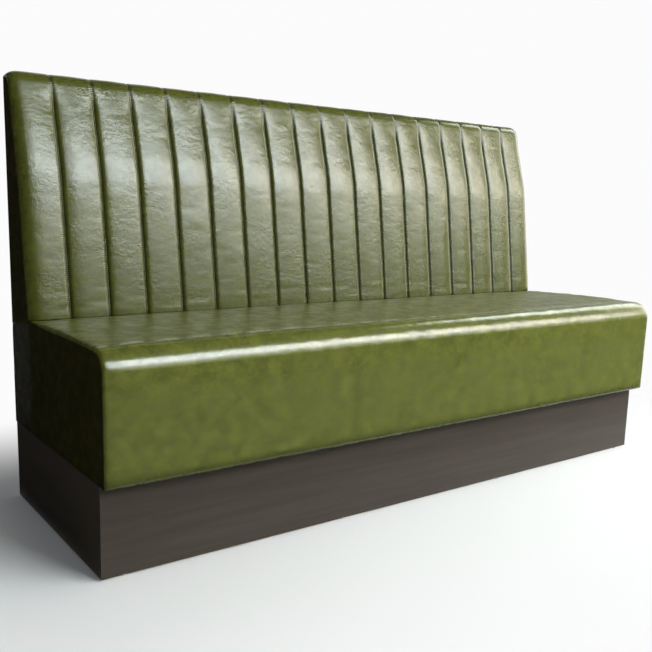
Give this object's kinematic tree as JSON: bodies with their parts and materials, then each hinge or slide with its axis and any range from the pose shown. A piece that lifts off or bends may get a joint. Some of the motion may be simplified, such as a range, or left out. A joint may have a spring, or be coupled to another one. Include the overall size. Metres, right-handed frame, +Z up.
{
  "type": "upholstered booth bench",
  "caption": "Straight upholstered booth bench with a vertically fluted leatherette back, a padded seat with a deep rounded front border and a recessed laminate plinth.",
  "frame": {"origin": "on the floor plane, below the middle of the bench's overall box", "axes": "+Z up, -Y towards the sitter's knees (the seat's front), +Y towards the wall, +X along the bench to the right as seen from the front"},
  "size_m": [1.8, 0.6, 1.05],
  "materials": {
    "fluted_leatherette": "olive green crinkled leatherette, glossy",
    "seat_leatherette": "olive green crinkled leatherette, glossy",
    "end_leatherette": "olive green crinkled leatherette, satin",
    "foam": "cut upholstery foam",
    "wadding": "bonded polyester wadding",
    "plinth_laminate": "dark brown-grey laminate, satin",
    "rear_panel_board": "dark hardboard, smooth face",
    "glide_nylon": "moulded nylon",
    "zinc_steel": "zinc plated",
    "plywood": "birch plywood, sanded"
  },
  "bodies": {
    "root": {"back_board": "plywood", "back_bolts": "zinc_steel", "back_bottom_rail": "plywood", "back_former_1": "plywood", "back_former_2": "plywood", "back_former_3": "plywood", "back_left_end_cover": "end_leatherette", "back_left_gable": "plywood", "back_left_wadding": "wadding", "back_middle_rail": "plywood", "back_rear_panel": "rear_panel_board", "back_right_end_cover": "end_leatherette", "back_right_gable": "plywood", "back_right_wadding": "wadding", "back_sleeve_nuts": "zinc_steel", "back_top_rail": "plywood", "floor_glides": "glide_nylon", "flute_foams": "foam", "fluted_cover": "fluted_leatherette", "front_border_foam": "foam", "glide_nails": "zinc_steel", "plinth_bearer_1": "plywood", "plinth_bearer_2": "plywood", "plinth_bearer_3": "plywood", "plinth_bearer_4": "plywood", "plinth_corner_blocks": "plywood", "plinth_front_board": "plywood", "plinth_front_facing": "plinth_laminate", "plinth_left_board": "plywood", "plinth_left_facing": "plinth_laminate", "plinth_rear_board": "plywood", "plinth_right_board": "plywood", "plinth_right_facing": "plinth_laminate", "plinth_screws": "zinc_steel", "seat_back_ledge": "plywood", "seat_cover": "seat_leatherette", "seat_deck": "plywood", "seat_foam": "foam", "seat_front_panel": "plywood", "seat_front_rail": "plywood", "seat_left_end_cover": "end_leatherette", "seat_left_gable": "plywood", "seat_left_wadding": "wadding", "seat_rear_panel": "rear_panel_board", "seat_rear_rail": "plywood", "seat_rib_1": "plywood", "seat_rib_2": "plywood", "seat_rib_3": "plywood", "seat_right_end_cover": "end_leatherette", "seat_right_gable": "plywood", "seat_right_wadding": "wadding"}
  },
  "joints": []
}
